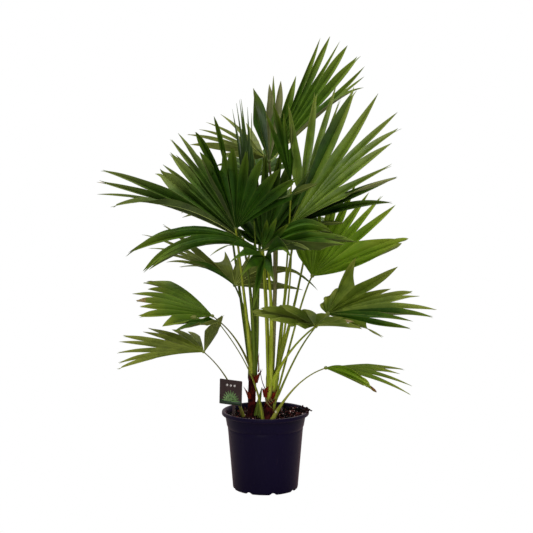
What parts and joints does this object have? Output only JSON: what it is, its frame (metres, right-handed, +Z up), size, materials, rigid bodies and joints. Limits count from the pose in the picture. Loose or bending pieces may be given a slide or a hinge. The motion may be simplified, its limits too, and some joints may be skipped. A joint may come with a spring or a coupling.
{
  "type": "potted chinese fan palm",
  "caption": "Potted fan palm: a clump of slender stalks with pleated, finger-tipped fan fronds, in a tapered round nursery pot of dark soil with a small plant label.",
  "frame": {"origin": "centre of the pot's flat underside, on the surface it stands on", "axes": "+Z up along the pot's axis; the pictured front faces -Y, so +X is to the viewer's right"},
  "size_m": [0.7991, 0.7319, 1.0862],
  "materials": {
    "pot": "satin",
    "soil": "matte",
    "sheath": "matte",
    "stalk": "satin",
    "leaf": "satin",
    "leaf_pale": "satin",
    "label": "satin"
  },
  "bodies": {
    "root": {"frond_back_far_right": "leaf", "frond_back_left": "leaf", "frond_back_right": "leaf", "frond_back_top": "leaf", "frond_edge_left": "leaf", "frond_front": "leaf", "frond_front_left": "leaf", "frond_front_low": "leaf", "frond_heart": "leaf", "frond_high_left": "leaf_pale", "frond_lower_left": "leaf", "frond_lower_right": "leaf", "frond_mid_left": "leaf", "frond_right_fan": "leaf", "frond_right_long": "leaf", "frond_right_low": "leaf", "frond_right_small": "leaf", "frond_right_upright": "leaf", "frond_small_left": "leaf", "frond_top": "leaf", "frond_top_front": "leaf", "frond_under_left": "leaf_pale", "frond_wide_left": "leaf", "petiole_back_far_right": "stalk", "petiole_back_left": "stalk", "petiole_back_right": "stalk", "petiole_back_top": "stalk", "petiole_edge_left": "stalk", "petiole_front": "stalk", "petiole_front_left": "stalk", "petiole_front_low": "stalk", "petiole_heart": "stalk", "petiole_high_left": "stalk", "petiole_lower_left": "stalk", "petiole_lower_right": "stalk", "petiole_mid_left": "stalk", "petiole_right_fan": "stalk", "petiole_right_long": "stalk", "petiole_right_low": "stalk", "petiole_right_small": "stalk", "petiole_right_upright": "stalk", "petiole_small_left": "stalk", "petiole_top": "stalk", "petiole_top_front": "stalk", "petiole_under_left": "stalk", "petiole_wide_left": "stalk", "plant_label": "label", "pot": "pot", "sheath_flap_1": "sheath", "sheath_flap_2": "sheath", "sheath_flap_3": "sheath", "soil": "soil", "stem_left": "sheath", "stem_right": "sheath"}
  },
  "joints": []
}
